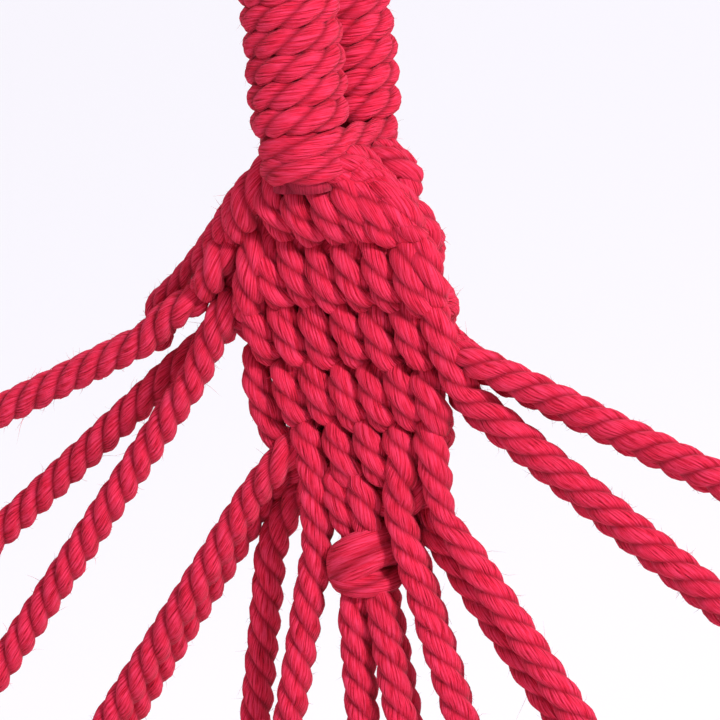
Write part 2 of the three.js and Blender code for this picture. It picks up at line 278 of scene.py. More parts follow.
def loose_fibres(skin, centre, count, seed):
    """Short cotton fibres that stand out from a cord's surface, each a thin tapering spike."""
    rng = np.random.default_rng(seed)
    rings, around = skin.shape[:2]
    ring = rng.integers(1, rings - 1, count)
    column = rng.integers(0, around, count)
    base = skin[ring, column]
    out = base - centre[ring]
    out /= np.linalg.norm(out, axis=1)[:, None]
    along = centre[ring + 1] - centre[ring - 1]
    along /= np.linalg.norm(along, axis=1)[:, None]
    cross = np.cross(along, out)
    lean = rng.normal(0, 1.2, (count, 1))
    sweep = rng.normal(0, 0.6, (count, 1))
    heading = 0.55 * out + lean * along + sweep * cross
    heading /= np.linalg.norm(heading, axis=1)[:, None]
    reach = FIBRE_REACH * (0.4 + rng.exponential(0.6, (count, 1)))
    reach = np.minimum(reach, 3 * FIBRE_REACH)
    bend = rng.normal(0, 0.35, (count, 3)) * reach
    root = base - 0.00015 * out
    half = root + heading * reach * 0.5 + 0.25 * bend
    tip = root + heading * reach + bend
    a = np.cross(heading, out)
    a /= np.maximum(np.linalg.norm(a, axis=1), 1e-6)[:, None]
    b = np.cross(heading, a)
    corners = [FIBRE_RADIUS * (math.cos(w) * a + math.sin(w) * b) for w in (0, 2.0944, 4.18879)]
    vertices = np.stack([root + c for c in corners] + [half + 0.8 * c for c in corners] + [tip],
                        axis=1)
    # Three corners at the root, three half way and one at the tip.
    pattern = [(0, 1, 4, 3), (1, 2, 5, 4), (2, 0, 3, 5), (3, 4, 6), (4, 5, 6), (5, 3, 6), (2, 1, 0)]
    faces = [tuple(7 * n + i for i in face) for n in range(count) for face in pattern]
    corner_count = sum(len(face) for face in pattern)
    where = np.stack([column * 0.7, ring * 1.0], axis=1)
    uvs = np.repeat(where, corner_count, axis=0).tolist()
    return vertices.reshape(-1, 3), faces, uvs, np.zeros(7 * count)


def join_skins(skins):
    vertices, faces, uvs, crease, base = [], [], [], [], 0
    for v, f, t, c in skins:
        vertices.append(v)
        faces += [tuple(i + base for i in face) for face in f]
        uvs += t
        crease.append(c)
        base += len(v)
    return np.vstack(vertices), faces, uvs, np.concatenate(crease)


def cord_piece(name, routes, material, **how):
    """One piece made of one or more laid cords. The yarn pattern of each starts somewhere else."""
    skins = []
    for n, route in enumerate(routes):
        settings = dict(how)
        settings["shift"] = (37.0 * n + 11.0 * (len(name) % 7), 53.0 * n + 7.0 * (len(name) % 11))
        skins.append(cord_skin(route, **settings))
    vertices, faces, uvs, crease = join_skins(skins)
    return mesh_piece(name, vertices, faces, uvs, crease, material)


# ------------------------------------------------------------
# Materials
# ------------------------------------------------------------

def linear(hex_colour):
    """An sRGB hex colour as linear RGBA."""
    parts = [int(hex_colour[i:i + 2], 16) / 255 for i in (1, 3, 5)]
    return [c / 12.92 if c <= 0.04045 else ((c + 0.055) / 1.055) ** 2.4 for c in parts] + [1.0]


def new_material(name):
    material = bpy.data.materials.new(name)
    material.use_nodes = True
    tree = material.node_tree
    tree.nodes.clear()
    return material, tree


def node(tree, kind, settings=None, links=None):
    """Adds a node, sets its properties and sockets, and links sockets to (node, output) pairs."""
    made = tree.nodes.new(kind)
    for key, value in (settings or {}).items():
        if isinstance(key, str) and hasattr(made, key):
            setattr(made, key, value)
        else:
            made.inputs[key].default_value = value
    for key, (source, output) in (links or {}).items():
        tree.links.new(source.outputs[output], made.inputs[key])
    return made


def ramp(tree, source, output, stops):
    made = node(tree, "ShaderNodeValToRGB", links={"Fac": (source, output)})
    elements = made.color_ramp.elements
    while len(elements) < len(stops):
        elements.new(0.5)
    for element, (place, colour) in zip(elements, stops):
        element.position = place
        element.color = linear(colour) if isinstance(colour, str) else (colour,) * 3 + (1.0,)
    return made


def cotton_cord(name, crest, body, dark_yarn_and_crease_shade):
    """Dyed cotton yarn, spun and laid three-strand: matt, with fine yarns running along the cord
    and a light bloom of loose fibre. The creases between the strands carry a painted shade: the
    deeper a point lies in a crease, the more of the darkest colour is mixed in, so the crests look
    soft and the creases deep and saturated."""
    material, tree = new_material(name)
    uv = node(tree, "ShaderNodeUVMap", {"uv_map": "cord"})
    # Yarns lie about 0.3 mm apart across the cord and stay in view for about 5 mm along it.
    across = node(tree, "ShaderNodeMapping", {"Scale": (3.3, 0.20, 1)}, {"Vector": (uv, "UV")})
    yarns = node(tree, "ShaderNodeTexNoise",
                 {"noise_dimensions": "2D", "Scale": 1.0, "Detail": 3.0, "Roughness": 0.6},
                 {"Vector": (across, "Vector")})
    fine = node(tree, "ShaderNodeMapping", {"Scale": (9.0, 0.8, 1)}, {"Vector": (uv, "UV")})
    fibres = node(tree, "ShaderNodeTexNoise",
                  {"noise_dimensions": "2D", "Scale": 1.0, "Detail": 2.0, "Roughness": 0.6},
                  {"Vector": (fine, "Vector")})
    place = node(tree, "ShaderNodeTexCoord")
    patches = node(tree, "ShaderNodeTexNoise", {"Scale": 140.0, "Detail": 2.0},
                   {"Vector": (place, "Object")})
    crease = node(tree, "ShaderNodeAttribute", {"attribute_name": "crease"})
    # Each yarn gets a tone at random between the darkest colour, the body and the crest colour.
    shade = ramp(tree, yarns, "Fac", [(0.26, dark_yarn_and_crease_shade), (0.44, body), (0.68, crest)])
    # Painted shade in the creases: the crease depth mixes in up to 0.62 of the darkest colour.
    dark = node(tree, "ShaderNodeMapRange",
                {"From Min": 0.35, "From Max": 1.0, "To Min": 0.0, "To Max": 0.62},
                {"Value": (crease, "Fac")})
    deep = node(tree, "ShaderNodeMix",
                {"data_type": "RGBA", "blend_type": "MIX", 7: linear(dark_yarn_and_crease_shade)},
                {0: (dark, "Result"), 6: (shade, "Color")})
    uneven = ramp(tree, patches, "Fac", [(0.3, 0.90), (0.7, 1.06)])
    colour = node(tree, "ShaderNodeMix", {"data_type": "RGBA", "blend_type": "MULTIPLY", 0: 1.0},
                  {6: (deep, 2), 7: (uneven, "Color")})
    height = node(tree, "ShaderNodeMath", {"operation": "MULTIPLY_ADD", 1: 0.45},
                  {0: (fibres, "Fac"), 2: (yarns, "Fac")})
    bump = node(tree, "ShaderNodeBump", {"Strength": 0.9, "Distance": 0.00030},
                {"Height": (height, "Value")})
    shader = node(tree, "ShaderNodeBsdfPrincipled",
                  {"Roughness": 0.92, "IOR": 1.45, "Specular IOR Level": 0.18,
                   "Sheen Weight": 0.16, "Sheen Roughness": 0.40, "Sheen Tint": linear("#FF8098")},
                  {"Base Color": (colour, 2), "Normal": (bump, "Normal")})
    node(tree, "ShaderNodeOutputMaterial", links={"Surface": (shader, "BSDF")})
    return material


def turned_beech(name):
    """Turned beech rod, sanded and oiled: straight grain along the rod with short dark flecks."""
    material, tree = new_material(name)
    place = node(tree, "ShaderNodeTexCoord")
    # Growth rings show as lines about 2 mm apart that run the length of the rod.
    along = node(tree, "ShaderNodeMapping", {"Scale": (6, 480, 480)}, {"Vector": (place, "Object")})
    grain = node(tree, "ShaderNodeTexNoise", {"Scale": 1.0, "Detail": 5.0, "Roughness": 0.6,
                                              "Distortion": 0.4}, {"Vector": (along, "Vector")})
    short = node(tree, "ShaderNodeMapping", {"Scale": (230, 2600, 2600)},
                 {"Vector": (place, "Object")})
    flecks = node(tree, "ShaderNodeTexNoise", {"Scale": 1.0, "Detail": 1.0},
                  {"Vector": (short, "Vector")})
    wood = ramp(tree, grain, "Fac", [(0.30, "#A8753F"), (0.50, "#C9985C"), (0.70, "#DDB27A")])
    marks = ramp(tree, flecks, "Fac", [(0.60, 1.0), (0.72, 0.62)])
    colour = node(tree, "ShaderNodeMix", {"data_type": "RGBA", "blend_type": "MULTIPLY", 0: 1.0},
                  {6: (wood, "Color"), 7: (marks, "Color")})
    bump = node(tree, "ShaderNodeBump", {"Strength": 0.25, "Distance": 0.0003}, {"Height": (grain, "Fac")})
    rough = node(tree, "ShaderNodeMapRange", {"To Min": 0.42, "To Max": 0.6}, {"Value": (grain, "Fac")})
    shader = node(tree, "ShaderNodeBsdfPrincipled", {"IOR": 1.5},
                  {"Base Color": (colour, 2), "Roughness": (rough, "Result"), "Normal": (bump, "Normal")})
    node(tree, "ShaderNodeOutputMaterial", links={"Surface": (shader, "BSDF")})
    return material


def stone_plastic(name):
    """Matt moulded plastic with stone flecks: pale warm grey, faintly pitted, with small specks."""
    material, tree = new_material(name)
    place = node(tree, "ShaderNodeTexCoord")
    # Flecks of about 1 mm, well apart.
    flecks = node(tree, "ShaderNodeTexVoronoi", {"Scale": 420.0, "feature": "F1"},
                  {"Vector": (place, "Object")})
    clouds = node(tree, "ShaderNodeTexNoise", {"Scale": 26.0, "Detail": 4.0},
                  {"Vector": (place, "Object")})
    pits = node(tree, "ShaderNodeTexNoise", {"Scale": 1500.0, "Detail": 2.0},
                {"Vector": (place, "Object")})
    ground = ramp(tree, clouds, "Fac", [(0.30, "#C6C0B3"), (0.70, "#D6D0C4")])
    spots = ramp(tree, flecks, "Distance", [(0.10, 0.45), (0.16, 1.0)])
    colour = node(tree, "ShaderNodeMix", {"data_type": "RGBA", "blend_type": "MULTIPLY", 0: 1.0},
                  {6: (ground, "Color"), 7: (spots, "Color")})
    bump = node(tree, "ShaderNodeBump", {"Strength": 0.25, "Distance": 0.0002}, {"Height": (pits, "Fac")})
    shader = node(tree, "ShaderNodeBsdfPrincipled", {"Roughness": 0.62, "IOR": 1.49},
                  {"Base Color": (colour, 2), "Normal": (bump, "Normal")})
    node(tree, "ShaderNodeOutputMaterial", links={"Surface": (shader, "BSDF")})
    return material


# The last colour of each cotton is its darkest yarn tone and also the painted shade mixed into the creases
# between strands.
RED_CORD = cotton_cord("crimson_laid_cotton", "#E2385E", "#CC1B39", "#720010")
# The eye's core uses a darker copy of the crimson cotton: painted shade for the core that lies inside the
# serving.
SHADED_CORE_CORD = cotton_cord("crimson_cotton_painted_core_shade", "#B92745", "#A01A35", "#7A0C22")
BEECH = turned_beech("turned_oiled_beech")
STONE_PLASTIC = stone_plastic("moulded_stone_plastic")


def finish_piece(piece, body, slot, *nodes):
    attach(piece, body)
    if nodes:
        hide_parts(*nodes)
    return piece


# ------------------------------------------------------------
# The twenty cords: down through the woven mat and out along the fan to the bar
# ------------------------------------------------------------

# Points that a cord bends through on the way out of the mat: X, Z, and how far from the middle,
# where that isn't the cord's own distance. The four middle cords bend in to pass through the knot.
INTO_KNOT_LEFT = [(-0.0016, -0.1650, 0.0020), (-0.0019, -0.1712, 0.0020)]
INTO_KNOT_RIGHT = [(0.0012, -0.1650, 0.0020), (0.0016, -0.1712, 0.0020)]

# Each cord's name, its last row in the mat, its layer in the fan, where it is straight from (X, Z),
# its hitch, and its bends.
WARPS = [
    ("left_edge_cord_back", 1, BACK, (-0.0415, -0.1270), "left_outer", []),
    ("left_edge_cord_front", 1, FRONT, (-0.0415, -0.1270), "left_outer", []),
    ("left_upper_cord_front", 2, FRONT, (-0.0320, -0.1344), "left_middle", []),
    ("left_upper_cord_back", 2, BACK, (-0.0395, -0.1336), "left_upper", []),
    ("left_lower_cord_front", 4, FRONT, (-0.0215, -0.1558), "left_lower", []),
    ("left_lower_cord_back", 4, BACK, (-0.0215, -0.1558), "left_lower", []),
    ("left_inner_cord_front", 4, FRONT, (-0.0110, -0.1645), "left_inner", [(-0.0088, -0.1545)]),
    ("left_inner_cord_back", 4, BACK, (-0.0224, -0.1680), "left_inner", [(-0.0165, -0.1580)]),
    ("centre_left_cord_back", 5, BACK, (-0.0016, -0.1756), "centre_left", INTO_KNOT_LEFT),
    ("centre_left_cord_front", 5, FRONT, (-0.0016, -0.1756), "centre_left", INTO_KNOT_LEFT),
    ("centre_right_cord_back", 5, BACK, (0.0050, -0.1756), "centre_right", INTO_KNOT_RIGHT),
    ("centre_right_cord_front", 5, FRONT, (0.0050, -0.1756), "centre_right", INTO_KNOT_RIGHT),
    ("right_inner_cord_front", 4, FRONT, (0.0126, -0.1650), "right_inner", [(0.0105, -0.1560)]),
    ("right_inner_cord_back", 4, BACK, (0.0126, -0.1650), "right_inner", [(0.0110, -0.1560)]),
    ("right_lower_cord_front", 4, FRONT, (0.0174, -0.1588), "right_lower", []),
    ("right_lower_cord_back", 4, BACK, (0.0174, -0.1588), "right_lower", []),
    ("right_middle_cord_front", 2, FRONT, (0.0245, -0.1350), "right_middle", []),
    ("right_middle_cord_back", 2, BACK, (0.0245, -0.1350), "right_middle", []),
    ("right_outer_cord_front", 2, FRONT, (0.0274, -0.1282), "right_outer", []),
    ("right_outer_cord_back", 2, BACK, (0.0274, -0.1282), "right_outer", []),
]

# Rows of the weave: height, where the first cord would be, the pitch from cord to cord, how far a
# cord stands out from the middle of the mat, and how far right the row reaches before it curls.
# The first row has its own places, which follow.
ROWS = [
    (-0.1000, None, None, 0.0100, 0.0122),
    (-0.1130, -0.0251, 0.00290, 0.0062, 0.0152),
    (-0.1245, -0.0272, 0.00310, 0.0043, 0.0164),
    (-0.1360, -0.0245, 0.00292, 0.0038, 0.0138),
    (-0.1470, -0.0265, 0.00323, 0.0037, 0.0138),
    (-0.1562, -0.0254, 0.00265, 0.0036, 0.0132),
]
# Across the first row, under the neck, the cords stand at these places.
FIRST_ROW_CORDS = [0, 2, 4, 6, 8, 10, 12, 14, 19]
FIRST_ROW_X = [-0.0220, -0.0150, -0.0085, -0.0026, 0.0032, 0.0083, 0.0123, 0.0160, 0.0185]
HALF_LOBE = 0.0044      # a cord stays on one face this far above and below a row
STAGGER = 0.0011        # front lobes sit this far to the left, and back ones as far to the right
LEAN = 0.0011           # the top of a front lobe leans this far left, its foot as far right
BOW = 0.22              # a lobe's ends lie this much closer to the middle of the mat
SHOULDER = 0.0225       # half the width of the first row, which is round like the neck
NUDGE_X, NUDGE_Z = 0.0003, 0.0006     # each lobe is moved by up to this, so that no two match
CURL_IN, CURL_BACK = 1.6, 0.77        # past the limit, how fast the mat turns inwards and back
THINNED = 0.36          # how much thinner a cord is where it crosses between rows
FLARE = 0.30            # the first row's lobes are this much closer together at the top
RISE = 0.16             # the rows and turns ride up towards the front by this slope
SOFT_CORD = 0.0062      # across the crests of a cord that nothing presses
NECK_X, NECK_Y = 0.0068, 0.0132
NECK_Z = SEIZING_LOW.z + 0.0045
HITCH_TOP = BAR_Z + BAR_RADIUS + 0.0075
OUT_AT_BEND = 0.0008    # a cord stands this much further out where it bends over the mat's foot
COS_CURL, SIN_CURL = math.cos(math.radians(30)), math.sin(math.radians(30))


# The two cords of a pair don't lie exactly one behind the other. For each cord: how far it is moved
# across its own line where it leaves the mat and where it meets the bar, to the right where that is
# positive, and how far from the middle it lies. A cord that isn't here is in line with its hitch.
MOVED_ACROSS = {
    "left_outer_cord_front": (-0.0012, -0.0030, 0.0033),
    "left_outer_cord_back": (0.0010, 0.0030, 0.0033),
    "left_upper_cord_back": (0.0006, -0.0030, 0.0033),
    "left_lower_cord_back": (0.0, 0.0012, 0.0033),
    "left_inner_cord_front": (0.0022, 0.0032, 0.0033),
    "left_inner_cord_back": (-0.0002, -0.0055, 0.0033),
    "centre_left_cord_front": (-0.0008, -0.0020, 0.0033),
    "centre_left_cord_back": (-0.0036, -0.0060, 0.0033),
    "centre_right_cord_front": (-0.0016, -0.0045, 0.0033),
    "centre_right_cord_back": (-0.0044, -0.0070, 0.0033),
    "right_inner_cord_front": (-0.0026, -0.0020, 0.0026),
    "right_inner_cord_back": (-0.0052, -0.0052, 0.0026),
    "right_lower_cord_front": (0.0003, 0.0026, 0.0020),
    "right_lower_cord_back": (-0.0056, -0.0030, 0.0020),
    "right_middle_cord_front": (0.0008, 0.0030, 0.0033),
    "right_middle_cord_back": (-0.0040, -0.0020, 0.0033),
    "right_outer_cord_back": (-0.0038, -0.0038, 0.0033),
}


def risen(point):
    x, y, z = point
    return (x, y, z - RISE * y)


def curled(x, y, limit):
    """Past its limit on the right, the mat curls round to the back."""
    over = max(0.0, x * COS_CURL + y * SIN_CURL - limit)
    return x - CURL_IN * over, y + CURL_BACK * over


def lobe_point(index, row, share):
    """A cord's middle in a row: share is -1 at the top of its lobe, 0 in the middle, 1 below."""
    height, first, pitch, depth, limit = ROWS[row]
    side = FRONT if (index + row) % 2 == 0 else BACK
    if row == 0:
        x = float(np.interp(index, FIRST_ROW_CORDS, FIRST_ROW_X))
        depth *= math.sqrt(max(0.05, 1 - ((x + 0.001) / SHOULDER) ** 2))
        x *= 1 + FLARE * min(0, share)
    else:
        x = first + pitch * index
    depth *= 1 - BOW * share ** 2
    if row > 0:
        x += side * STAGGER
    x, y = curled(x, side * depth, limit)
    x += -side * LEAN * share + NUDGE_X * math.sin(12.9 * index + 7.7 * row)
    z = height - HALF_LOBE * share + NUDGE_Z * math.sin(5.1 * index + 3.3 * row)
    return risen((x, y, z))


def crossing_point(index, row):
    """Half way between two rows, where a cord passes from one face of the mat to the other."""
    a, b = lobe_point(index, row, 1), lobe_point(index, row + 1, -1)
    return tuple((p + q) / 2 for p, q in zip(a, b))


def neck_point(index):
    """Where a cord comes out from under the seizing. Half of them go round the front."""
    around = (index // 2 + 0.5) / (len(WARPS) / 2) * math.pi
    side = FRONT if index % 2 == 0 else BACK
    return risen((-NECK_X * math.cos(around), side * NECK_Y * math.sin(around), NECK_Z))


SETTLES = 0.006         # a cord is in line this soon after the start of its straight run


def straight_run(start, end):
    start, end = np.array(start), np.array(end)
    length = np.linalg.norm(end - start)
    shares = [0, SETTLES / length, 0.5, 1]
    return [tuple(start + (end - start) * s) for s in shares]


# This cord comes through to the front low in its last row and turns outwards at once.
OUTWARD_LAST_LOBE = {
    4: [(-0.0122, 0.0005, -0.1432), (-0.0128, -0.0036, -0.1468), (-0.0165, -0.0042, -0.1508)],
}

# The four cords at the left edge spread out sooner than the rows do, so each has its own way from
# the neck to the place where it is straight.
LEFT_EDGE = {
    0: [(-0.0140, -0.0080, -0.0980), (-0.0178, -0.0065, -0.1020), (-0.0234, -0.0035, -0.1072),
        (-0.0300, -0.0010, -0.1121), (-0.0355, 0.0010, -0.1169), (-0.0411, 0.0028, -0.1222)],
    1: [(-0.0140, 0.0060, -0.0980), (-0.0225, 0.0030, -0.1053), (-0.0213, -0.0028, -0.1073),
        (-0.0216, -0.0058, -0.1094), (-0.0230, -0.0065, -0.1121), (-0.0255, -0.0050, -0.1153),
        (-0.0285, -0.0018, -0.1176), (-0.0300, -0.0040, -0.1190), (-0.0355, -0.0038, -0.1222)],
    2: [(-0.0127, -0.0090, -0.0971), (-0.0138, -0.0090, -0.0995), (-0.0164, -0.0068, -0.1036),
        (-0.0204, -0.0010, -0.1079), (-0.0238, 0.0036, -0.1129), (-0.0236, 0.0020, -0.1166),
        (-0.0223, -0.0032, -0.1190), (-0.0235, -0.0044, -0.1215), (-0.0268, -0.0040, -0.1265)],
    3: [(-0.0100, 0.0085, -0.0980), (-0.0175, 0.0045, -0.1041), (-0.0146, -0.0036, -0.1058),
        (-0.0140, -0.0066, -0.1084), (-0.0151, -0.0072, -0.1129), (-0.0169, -0.0055, -0.1179),
        (-0.0206, -0.0005, -0.1226), (-0.0270, 0.0030, -0.1252)],
}


def through_the_rows(index, last_row):
    """A cord's points in the rows of the mat. It leaves the last row at the middle of its lobe."""
    points = []
    outward = OUTWARD_LAST_LOBE.get(index)
    for row in range(last_row):
        points += [lobe_point(index, row, share) for share in (-1, 0, 1)]
        if row + 1 < last_row or not outward:
            points.append(crossing_point(index, row))
    return points + (outward or [lobe_point(index, last_row, share) for share in (-1, 0)])


def warp_route(index):
    name, last_row, layer, straight_from, hitch, bends = WARPS[index]
    points = [neck_point(index)]
    points += LEFT_EDGE[index] if index in LEFT_EDGE else through_the_rows(index, last_row)
    at_mat, at_bar, depth = MOVED_ACROSS.get(name, (0, 0, LAYER))
    start, end = Vector(straight_from), Vector((HITCH_X[hitch], HITCH_TOP))     # both are (X, Z)
    along = (end - start).normalized()
    across = Vector((-along.y, along.x))
    start += across * at_mat
    end += across * at_bar
    for x, z, *from_middle in bends:
        moved = 0 if from_middle else at_mat / 2
        out = from_middle[0] if from_middle else depth + OUT_AT_BEND
        points.append((x + moved, layer * out, z))
    points += straight_run((start.x, layer * depth, start.y), (end.x, layer * depth, end.y))
    return smooth_route(points)


MAT_FOOT = -0.166       # below this the cords are free of the mat
FOOT_FADE = 0.008       # and above it they are pressed more and more, over this height
KNOT_GRIP = 0.0045      # how far from its centre the knot presses the cords fully


def squeezed_between_rows(centre):
    """Inside the mat a cord is pressed thinner where it passes between its neighbours."""
    y = np.abs(centre[:, 1]) / LAYER
    inside = np.clip((centre[:, 2] - MAT_FOOT) / FOOT_FADE, 0, 1)
    in_mat = inside * THINNED * (1 - np.clip(y, 0, 1) ** 2)
    # The knot grips the four middle cords the same way.
    from_knot = np.linalg.norm(centre - np.array(KNOT_CENTRE), axis=1)
    in_knot = THINNED * np.clip(2 - from_knot / KNOT_GRIP, 0, 1)
    return 1 - np.maximum(in_mat, in_knot)


for number, warp in enumerate(WARPS):
    piece = cord_piece(warp[0], [warp_route(number)], RED_CORD, diameter=SOFT_CORD,
                       start_turn=2.4 * number, fuzz=5.0, squeeze=squeezed_between_rows)
    finish_piece(piece, "hanger", "red_cotton_cord", warp[0], "woven_mat")


def filling_route():
    """The filling cord, which goes to and fro between the cords and turns at the edges."""
    points = [
        (-0.012, 0, -0.1000), (0, 0, -0.1000), (0.012, 0.001, -0.1005),
        (0.0165, 0.003, -0.1065),
        (0.0120, 0.001, -0.1130), (0, 0, -0.1130), (-0.0200, 0, -0.1130),
        (-0.0245, 0, -0.1185),
        (-0.0200, 0, -0.1245), (0, 0, -0.1245), (0.0150, 0.002, -0.1245),
        (0.0185, 0.003, -0.1300),
        (0.0130, 0.001, -0.1360), (0, 0, -0.1360), (-0.0150, 0.003, -0.1330),
        (-0.0192, 0.0010, -0.1290), (-0.0188, -0.0020, -0.1335), (-0.0176, -0.0025, -0.1385),
        (-0.0163, -0.0018, -0.1438),
        (-0.0140, 0.001, -0.1475), (0, 0, -0.1470), (0.0110, 0.001, -0.1475),
        (0.0138, 0.001, -0.1515),
        (0.0100, 0, -0.1562), (0, 0, -0.1562),
    ]
    return smooth_route(points)


finish_piece(cord_piece("mat_filling_cord", [filling_route()], RED_CORD, start_turn=1.0, fuzz=3.0),
             "hanger", "red_cotton_cord", "woven_mat")


# ------------------------------------------------------------
# The eye, its serving and the seizing at the neck
# ------------------------------------------------------------

EYE_BORE = 0.036
SERVED = EYE_HIGH.x - EYE_LOW.x
LEG_Y = 0.0096          # the legs' centre lines lie this far either side of the middle
LOOP_RADIUS = (EYE_BORE + SERVED) / 2
LOOP_CENTRE = -EYE_BORE / 2
THROAT = -0.056         # where the two legs part to make the loop


def eye_route(foot):
    """The eye's centre line, from the foot of the front leg round to the foot of the back leg."""
    front = [(0, -LEG_Y, foot), (0, -LEG_Y, (foot + THROAT) / 2), (0, -LEG_Y, THROAT)]
    a = np.array([0, -LEG_Y, THROAT])
    b = np.array([0, -LEG_Y, THROAT * 0.72])
    c = np.array([0, -LOOP_RADIUS, LOOP_CENTRE + THROAT * 0.36])
    d = np.array([0, -LOOP_RADIUS, LOOP_CENTRE])
    for t in np.linspace(0, 1, 8)[1:]:
        front.append(tuple((1 - t) ** 3 * a + 3 * (1 - t) ** 2 * t * b
                           + 3 * (1 - t) * t * t * c + t ** 3 * d))
    top = [(0, -LOOP_RADIUS * math.cos(w), LOOP_CENTRE + LOOP_RADIUS * math.sin(w))
           for w in np.linspace(0, math.pi, 15)[1:-1]]
    back = [(x, -y, z) for x, y, z in reversed(front)]
    return smooth_route(front + top + back)


def wound_round(route, radius, pitch, per_turn=28):
    """A helix of even pitch wound round a route."""
    centre, length = evenly(route, 0.0008)
    _, side, other = frames_along(centre)
    turns = length[-1] / pitch
    at = np.linspace(0, length[-1], int(turns * per_turn))
    c = np.stack([np.interp(at, length, centre[:, k]) for k in range(3)], axis=1)
    s = np.stack([np.interp(at, length, side[:, k]) for k in range(3)], axis=1)
    o = np.stack([np.interp(at, length, other[:, k]) for k in range(3)], axis=1)
    angle = 2 * math.pi * at / pitch
    return c + radius * (np.cos(angle)[:, None] * s + np.sin(angle)[:, None] * o)


SERVING_CORD = 0.0058
SERVING_PITCH = 0.0048
SERVED_FOOT = SEIZING_HIGH.z - 0.0002
RISE_FADES = (-0.075, -0.030)     # the turns ride up at the front less and less between these heights


def serving_route():
    middle_line = eye_route(SERVED_FOOT)
    turns = wound_round(middle_line, SERVED / 2 - SERVING_CORD / 2, SERVING_PITCH)
    strength = np.interp(turns[:, 2], RISE_FADES, (1, 0))
    leg = np.where(turns[:, 1] < 0, -LEG_Y, LEG_Y)
    turns[:, 2] -= RISE * strength * (turns[:, 1] - leg)
    return turns


finish_piece(cord_piece("eye_serving", [serving_route()], RED_CORD, diameter=SERVING_CORD, lay=0.0145,
                        rings_per_lay=14, segments=6, strand=0.66, fuzz=2.0),
             "hanger", "red_cotton_cord", "eye_serving")

# The core is drawn in the darker copy of the cotton, as painted shade inside the serving.
finish_piece(cord_piece("eye_core", [eye_route(SEIZING_LOW.z)], SHADED_CORE_CORD, diameter=0.0122, lay=0.03,
                        segments=6),
             "hanger", "inner_cotton_cord", "eye_core")


def round_both_legs(share, radius):
    """A place on the way round the two legs, at a distance from their middles. Starts at the left."""
    straight, half_round = 2 * LEG_Y, math.pi * radius
    total = 2 * (straight + half_round)
    at = (share % 1.0) * total
    if at < straight / 2:
        return -radius, -at
    at -= straight / 2
    if at < half_round:
        w = at / radius
        return -radius * math.cos(w), -LEG_Y - radius * math.sin(w)
    at -= half_round
    if at < straight:
        return radius, -LEG_Y + at
    at -= straight
    if at < half_round:
        w = at / radius
        return radius * math.cos(w), LEG_Y + radius * math.sin(w)
    return -radius, LEG_Y - (at - half_round)


SEIZING_TURNS = 2.1
SEIZING_START = 0.93    # where the first turn starts, as a share of the way round
SEIZING_RADIUS = 0.0060
SEIZING_PITCH = 0.0040
SEIZING_TUCK = 0.0022   # the ends lie this much deeper
FIRST_TURN_DOWN = 0.0016


def seizing_route():
    """Two turns round both legs, and a little more with the ends tucked in."""
    points = []
    steps = 56
    for i in range(steps + 1):
        share = i / steps
        tucked = max(0, abs(share - 0.5) - 0.46) / 0.04
        x, y = round_both_legs(SEIZING_START - SEIZING_TURNS * share,
                               SEIZING_RADIUS - SEIZING_TUCK * tucked)
        z = SEIZING_HIGH.z - FIRST_TURN_DOWN - SEIZING_PITCH * SEIZING_TURNS * share
        points.append(risen((x, y, z)))
    return smooth_route(points)


finish_piece(cord_piece("neck_seizing", [seizing_route()], RED_CORD, diameter=0.0056, start_turn=0.7,
                        lay=0.024, flat=(1.05, 0.80), up=(0, 0, 1), fuzz=4.0),
             "hanger", "red_cotton_cord", "neck_seizing")


# ------------------------------------------------------------
# The centre knot
# ------------------------------------------------------------

def knot_route(turns, start, half_x, half_y, tilt, drop, climb):
    """Turns round the four centre cords, leaning up to the right by the tilt. The start is an angle
    in degrees, and both ends are tucked inwards."""
    points = []
    steps = int(turns * 24)
    for i in range(steps + 1):
        share = i / steps
        angle = math.radians(start) + 2 * math.pi * turns * share
        inward = 1 - 0.45 * max(0, abs(share - 0.5) - 0.42) / 0.08
        x = half_x * math.cos(angle) * inward
        y = half_y * math.sin(angle) * inward
        z = KNOT_CENTRE.z + drop + tilt * (x - 0.3 * y) + climb * (share - 0.5)
        points.append((KNOT_CENTRE.x + x, y, z))
    return smooth_route(points)


# The band is the cord opened out and pulled flat, so its strands are almost untwisted.
knot_band = cord_skin(knot_route(turns=1.3, start=70, half_x=0.0048, half_y=0.0054, tilt=0.60,
                                 drop=0.0006, climb=-0.0010),
                      diameter=0.0060, lay=0.090, strand=0.88, rings_per_lay=80, flat=(1.45, 0.80),
                      up=(0, 0, 1), shift=(3.0, 9.0), fuzz=5.0)
knot_tail = cord_skin(knot_route(turns=1.1, start=200, half_x=0.0046, half_y=0.0048, tilt=-0.10,
                                 drop=-0.0030, climb=0.0),
                      diameter=0.0052, lay=0.03, strand=0.75, rings_per_lay=40, up=(0, 0, 1),
                      shift=(23.0, 49.0), fuzz=4.0)
finish_piece(mesh_piece("centre_knot", *join_skins([knot_band, knot_tail]), RED_CORD),
             "hanger", "red_cotton_cord", "centre_knot")


# ------------------------------------------------------------
# The hitches on the bar, the slings and the belt cords
# ------------------------------------------------------------

HITCH_RADIUS = BAR_RADIUS + 0.0004 + CORD / 2
HITCH_TURNS = 2.5
HITCH_CROSSING = 0.0046       # how far the crossing stands out over the turns
COARSER = dict(rings_per_lay=12, segments=6)    # less detail on the hitches and slings


def hitch_route(x):
    """A clove hitch: one turn, a crossing over the first turn, and a second turn."""
    points = []
    half_span = CORD / 2 + 0.0002
    steps = 50
    for i in range(steps + 1):
        share = i / steps
        angle = math.radians(90) + 2 * math.pi * HITCH_TURNS * share
        over = math.exp(-((share - 0.5) / 0.09) ** 2)
        across = half_span * math.tanh((share - 0.5) * 9)
        radius = HITCH_RADIUS + HITCH_CROSSING * over
        points.append((x + across, radius * math.cos(angle), BAR_Z + radius * math.sin(angle)))
    return smooth_route(points)


for name in HITCH_NAMES:
    finish_piece(cord_piece(name + "_hitch", [hitch_route(HITCH_X[name])], RED_CORD, **COARSER),
                 "hanger", "red_cotton_cord", name + "_hitch")

